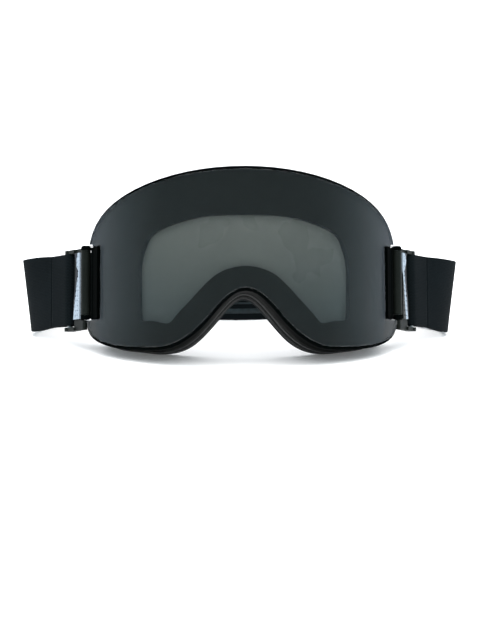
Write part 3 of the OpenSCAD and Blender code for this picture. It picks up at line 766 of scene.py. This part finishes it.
def wrap_stations(start, end):
    """Stations from the outer layer round the strap bar and back to the inner layer."""
    untilt = TILT.transposed()

    def flat(point):
        return untilt @ (point - hinge_place) / MM + HINGE

    splay = math.radians(SPLAY)
    bar = Vector((HINGE.x + ARM_LEN * math.sin(splay), HINGE.y + ARM_LEN * math.cos(splay)))
    radius = BAR_R + 0.25 + STRAP_T / 2
    p = flat(start[0]).to_2d()
    q = flat(end[0]).to_2d()

    def tangent(point, side):
        d = point - bar
        swing = side * math.acos(radius / d.length)
        return math.atan2(d.y, d.x) + swing

    a_out = tangent(p, -1)
    a_in = tangent(q, 1)
    turn = (a_in - a_out) % (2 * math.pi) - 2 * math.pi
    path = []
    touch = bar + radius * Vector((math.cos(a_out), math.sin(a_out)))
    path += [p.lerp(touch, k / 14) for k in range(1, 14)]
    path += [bar + radius * Vector((math.cos(a_out + turn * k / 24), math.sin(a_out + turn * k / 24)))
             for k in range(25)]
    leave = path[-1]
    path += [leave.lerp(q, k / 14) for k in range(1, 14)]
    for _ in range(3):
        path = [path[0]] + [(path[k - 1] + path[k] * 2 + path[k + 1]) / 4
                            for k in range(1, len(path) - 1)] + [path[-1]]
    low_z = [flat(start[0]).z, flat(end[0]).z]
    high_z = [flat(start[1]).z, flat(end[1]).z]
    out = []
    for k, point in enumerate(path):
        before = path[k - 1] if k else p
        after = path[k + 1] if k < len(path) - 1 else q
        run = (after - before).normalized()
        t = k / (len(path) - 1)
        low = low_z[0] * (1 - t) + low_z[1] * t
        high = high_z[0] * (1 - t) + high_z[1] * t
        normal = TILT @ Vector((run.y, -run.x, 0.0))
        out.append((worn(point.x, point.y, low), worn(point.x, point.y, high), normal))
    return out


def ribbon(name, stations, thickness, material, mirrored=False):
    """Webbing with rounded selvedges; each station is low point, high point and normal."""
    half = thickness / 2
    columns = 16
    lip = 1.1 * MM
    sections = []
    for low, high, normal in stations:
        up = (high - low).normalized()
        width = (high - low).length
        loop = []
        for side in (1, -1):
            for k in range(columns + 1):
                f = k / columns if side > 0 else 1 - k / columns
                across = lip * 0.5 + (width - lip) * f
                loop.append(low + up * across + normal * half * MM * side)
            tip = high if side > 0 else low
            reach = 1 if side > 0 else -1
            for a in (45, 0, -45):
                ang = math.radians(a) * side
                loop.append(tip - up * reach * lip * 0.5 + up * reach * lip * 0.5 * math.cos(ang)
                            + normal * half * MM * math.sin(ang))
        if mirrored:
            loop = [Vector((-p.x, p.y, p.z)) for p in loop]
        sections.append(loop)
    return band(name, sections, material, closed=False)


def seam_index(x):
    """Station of the strap's outer edge nearest to a distance from the middle."""
    return min(range(len(edge_low)), key=lambda i: abs(edge_low[i].x - x * MM) - edge_low[i].y * 1e-3)


OUTER_DEPTH = STRAP_T / 2
INNER_DEPTH = STRAP_T * 1.5 + LAYER_GAP
seam = seam_index(ADJUSTER_X)
tail_end = 11 * STRAP_STEPS
outer_run = [strap_station(i, OUTER_DEPTH) for i in range(seam, -1, -1)]
inner_run = [(lo, hi, -n) for lo, hi, n in (strap_station(i, INNER_DEPTH) for i in range(0, tail_end + 1))]
wrap_run = wrap_stations(outer_run[-1], inner_run[0])


def relaxed(stations, joints_at, reach=10, passes=12):
    """Eases a run of stations where two parts of it meet, then squares up its normals."""
    low = [s[0].copy() for s in stations]
    high = [s[1].copy() for s in stations]
    for _ in range(passes):
        for edge in (low, high):
            old = [q.copy() for q in edge]
            for j in joints_at:
                for i in range(max(j - reach, 1), min(j + reach, len(edge) - 1)):
                    fade = 1 - abs(i - j) / (reach + 1)
                    edge[i] = old[i].lerp((old[i - 1] + old[i + 1]) / 2, 0.8 * fade)
    out = []
    for i, (lo, hi) in enumerate(zip(low, high)):
        a, b = max(i - 1, 0), min(i + 1, len(low) - 1)
        n = (low[b] + high[b] - low[a] - high[a]).cross(hi - lo).normalized()
        out.append((lo, hi, n if n.dot(stations[i][2]) > 0 else -n))
    return out


side_run = relaxed(outer_run + wrap_run + inner_run, (len(outer_run), len(outer_run) + len(wrap_run)))

# the soft strap lies a little differently on each side: (outwards, upwards) in metres,
# growing from none at LIE_FROM to all of it LIE_OVER further out
SIDE_LIE = {"right": (0.0011, 0.0), "left": (-0.0013, 0.0007)}
LIE_FROM = 0.104
LIE_OVER = 0.014


def settled(obj, side):
    """Moves the folded part of a side strap by its own small lie."""
    out, up = SIDE_LIE[side]
    flip = -1 if side == "left" else 1
    for v in obj.data.vertices:
        t = min(max((abs(v.co.x) - LIE_FROM) / LIE_OVER, 0.0), 1.0)
        t = t * t * (3 - 2 * t)
        v.co.x += out * flip * t
        v.co.z = max(v.co.z + up * t, FLOOR_CLEAR)
    obj.data.update()


for side, mirrored in (("right", False), ("left", True)):
    piece = ribbon(f"strap_side_{side}", side_run, STRAP_T, MATERIALS["webbing_navy"], mirrored)
    settled(piece, side)
    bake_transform(piece)
    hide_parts(f"strap_wrap_{side}", f"strap_tail_{side}", "strap_main")

back_run = [strap_station(i, OUTER_DEPTH) for i in range(seam, len(edge_low))]
back_run += [(Vector((-lo.x, lo.y, lo.z)), Vector((-hi.x, hi.y, hi.z)), Vector((-n.x, n.y, n.z)))
             for lo, hi, n in reversed(back_run[:-1])]
back = ribbon("strap_back", back_run, STRAP_T, MATERIALS["webbing_navy"])
finish_piece(back, "frame", "webbing_navy", "strap_main")

# ---------------------------------------------------------------------------
# Silicone grip lines on the strap's inner face
# ---------------------------------------------------------------------------
GRIP_REACH = 30.5
GRIP_RISE = 0.42
GRIP_SUNK = 0.02
REAR_Y = 0.06


def grip_line(height, width):
    """Sections of one half-round silicone line, height mm above the strap's lower edge."""
    stations = [i for i, q in enumerate(edge_low) if abs(q.x) <= GRIP_REACH * MM and q.y > REAR_Y]
    line = []
    for i in stations:
        low, high, n = strap_station(i, STRAP_T)
        up = (high - low).normalized()
        line.append((low, up, n))
    line += [(Vector((-lo.x, lo.y, lo.z)), up, n) for lo, up, n in reversed(line[:-1])]
    sections = []
    count = len(line)
    for k, (low, up, n) in enumerate(line):
        end = min(k, count - 1 - k)
        taper = 1.0 if end > 1 else (0.55 if end == 0 else 0.9)
        loop = []
        for a in range(0, 181, 20):
            r = math.radians(a)
            loop.append(low + up * (height + width / 2 * (1 - math.cos(r) * taper)) * MM
                        - n * (GRIP_RISE * math.sin(r) * taper - GRIP_SUNK) * MM)
        sections.append(loop)
    return sections


def joined(name, parts):
    """Joins pieces made for one node into one object."""
    for o in bpy.context.selected_objects:
        o.select_set(False)
    for o in parts:
        o.select_set(True)
    bpy.context.view_layer.objects.active = parts[0]
    bpy.ops.object.join()
    parts[0].name = name
    return parts[0]


GRIP_LINES = [(4.2, 3), (10, 1), (29, 1), (32.8, 3)]
grip = joined("strap_grip_lines", [band(f"grip_{k}", grip_line(h, w), MATERIALS["silicone_slate"], False)
                                   for k, (h, w) in enumerate(GRIP_LINES)])
finish_piece(grip, "frame", "silicone_slate", "strap_grip")

# ---------------------------------------------------------------------------
# CAD nodes that keep their shape: softened edges and their own finish
# ---------------------------------------------------------------------------
slots = {s["node"]: s["material_slot"] for s in record["subparts"]}


def soften(obj, width, angle=32.0):
    weld = obj.modifiers.new("weld", "WELD")
    weld.merge_threshold = 0.000005
    bevel = obj.modifiers.new("bevel", "BEVEL")
    bevel.width = width
    bevel.segments = 2
    bevel.limit_method = "ANGLE"
    bevel.angle_limit = math.radians(angle)
    bevel.harden_normals = False
    normals = obj.modifiers.new("normals", "WEIGHTED_NORMAL")
    normals.weight = 60
    normals.keep_sharp = False


EDGES = {
    "frame_chassis": 0.00025, "lens_bezel": 0.00012, "hinge_block_left": 0.0004, "hinge_block_right": 0.0004,
    "outrigger_left": 0.0004, "outrigger_right": 0.0004, "outrigger_plate_left": 0.00018,
    "outrigger_plate_right": 0.00018, "strap_bar_left": 0.0002, "strap_bar_right": 0.0002,
    "strap_adjuster_left": 0.00035, "strap_adjuster_right": 0.00035, "hinge_screws": 0.0001,
    "outrigger_pin_left": 0.00015, "outrigger_pin_right": 0.00015, "frame_magnets": 0.0001,
    "lens_magnets": 0.0001, "vent_foam_top": 0.0002, "vent_foam_lower": 0.0002, "lens_gasket": 0.0002,
}
for name, obj in frame["nodes"].items():
    if obj.hide_render:
        continue
    if not obj.material_slots:
        obj.data.materials.append(MATERIALS[slots[name]])
    for s in obj.material_slots:
        s.material = MATERIALS[slots[name]]
    obj.data.polygons.foreach_set("use_smooth", [True] * len(obj.data.polygons))
    soften(obj, EDGES.get(name, 0.0002))

# ---------------------------------------------------------------------------
# Floor, light and camera
# ---------------------------------------------------------------------------
def floor():
    """A plain pale floor with a faint glow of its own, which softens the contact shadow."""
    m = Shader("floor", 0.9, 0.1)
    tone = m.noise(m.coords(), 3.0, 2.0, 0.5)
    m.colour(m.ramp(tone, [(0.3, (0.93, 0.93, 0.93, 1)), (0.7, (0.94, 0.94, 0.94, 1))]))
    m.set("Emission Color", (1.0, 1.0, 1.0, 1.0))
    m.set("Emission Strength", 0.12)
    obj = mesh_object("floor", [(-6, -6, 0), (6, -6, 0), (6, 6, 0), (-6, 6, 0)], [(0, 1, 2, 3)], m.mat)


# the room's light by direction, from the viewer's side (0) to behind the goggles (1)
ROOM = [
    (0.0, (0.22, 0.32, 0.33, 1)), (0.24, (0.27, 0.38, 0.41, 1)), (0.42, (0.8, 1.04, 1.13, 1)),
    (0.56, (1.35, 1.62, 1.78, 1)), (0.7, (1.8, 2.0, 2.3, 1)), (1.0, (1.2, 1.2, 1.2, 1)),
]
OVERHEAD = (2.0, 2.0, 2.0, 1)
OVERHEAD_FROM = 0.45
OVERHEAD_TO = 0.85
TABLE_LOW = 0.066
TABLE_HIGH = 0.07
TABLE_SHADE = 0.8


def world():
    """A white room, brightest overhead and dim on the viewer's side, so the lens stays dark."""
    w = bpy.data.worlds.new("studio")
    bpy.context.scene.world = w
    w.use_nodes = True
    nodes, links = w.node_tree.nodes, w.node_tree.links
    where = nodes.new("ShaderNodeTexCoord")
    split = nodes.new("ShaderNodeSeparateXYZ")
    ramp = nodes.new("ShaderNodeValToRGB")
    depth = nodes.new("ShaderNodeMapRange")
    depth.inputs["From Min"].default_value = -1.0
    depth.inputs["From Max"].default_value = 1.0
    height = nodes.new("ShaderNodeMapRange")
    height.interpolation_type = "SMOOTHSTEP"
    height.inputs["From Min"].default_value = OVERHEAD_FROM
    height.inputs["From Max"].default_value = OVERHEAD_TO
    top = nodes.new("ShaderNodeMix")
    top.data_type = "RGBA"
    top.inputs[7].default_value = OVERHEAD
    while len(ramp.color_ramp.elements) < len(ROOM):
        ramp.color_ramp.elements.new(0.5)
    for element, (place, colour) in zip(ramp.color_ramp.elements, ROOM):
        element.position = place
        element.color = colour
    links.new(where.outputs["Generated"], split.inputs["Vector"])
    links.new(split.outputs["Y"], depth.inputs["Value"])
    links.new(split.outputs["Z"], height.inputs["Value"])
    links.new(depth.outputs["Result"], ramp.inputs["Fac"])
    links.new(height.outputs["Result"], top.inputs["Factor"])
    links.new(ramp.outputs["Color"], top.inputs[6])
    # the far edge of the studio table, seen as a faint line low in the lens
    level = nodes.new("ShaderNodeVectorMath")
    level.operation = "DOT_PRODUCT"
    level.inputs[1].default_value = TILT @ Vector((0.0, 0.0, 1.0))
    edge = nodes.new("ShaderNodeMapRange")
    edge.inputs["From Min"].default_value = TABLE_LOW
    edge.inputs["From Max"].default_value = TABLE_HIGH
    edge.inputs["To Min"].default_value = TABLE_SHADE
    scaled = nodes.new("ShaderNodeVectorMath")
    scaled.operation = "SCALE"
    links.new(where.outputs["Generated"], level.inputs[0])
    links.new(level.outputs["Value"], edge.inputs["Value"])
    links.new(top.outputs[2], scaled.inputs[0])
    links.new(edge.outputs["Result"], scaled.inputs["Scale"])
    links.new(scaled.outputs["Vector"], nodes["Background"].inputs["Color"])


def area_light(name, place, target, size, power, colour=(1, 1, 1)):
    data = bpy.data.lights.new(name, "AREA")
    data.shape = "RECTANGLE"
    data.size, data.size_y = size
    data.energy = power
    data.color = colour
    obj = bpy.data.objects.new(name, data)
    obj.location = place
    obj.rotation_mode = "QUATERNION"
    obj.rotation_quaternion = (Vector(target) - Vector(place)).to_track_quat("-Z", "Y")
    obj.visible_glossy = False
    bpy.context.scene.collection.objects.link(obj)


def camera():
    """A long lens a little above the goggles and a touch to their left."""
    distance = 0.9
    target = worn(0.0, 0.0, 50.0)
    rise, turn, roll = math.radians(7.5), math.radians(2.5), math.radians(0.35)
    data = bpy.data.cameras.new("camera")
    data.sensor_width = 36.0
    data.lens = 97.2
    data.shift_x = -0.0092
    data.shift_y = -0.1002
    data.clip_start, data.clip_end = 0.01, 50.0
    obj = bpy.data.objects.new("camera", data)
    level = math.cos(rise)
    away = Vector((-math.sin(turn) * level, -math.cos(turn) * level, math.sin(rise)))
    obj.location = target + distance * away
    obj.rotation_mode = "QUATERNION"
    aim = (target - obj.location).to_track_quat("-Z", "Y")
    obj.rotation_quaternion = aim @ Quaternion((0.0, 0.0, 1.0), roll)
    bpy.context.scene.collection.objects.link(obj)
    bpy.context.scene.camera = obj


floor()
world()
area_light("top", (0.0, -0.1, 1.3), (0.0, 0.0, 0.0), (2.0, 1.8), 16.0)
area_light("front", (0.0, -1.2, 0.7), (0.0, -0.1, 0.0), (1.8, 0.6), 10.0)
camera()
bpy.context.scene.view_settings.view_transform = "Standard"
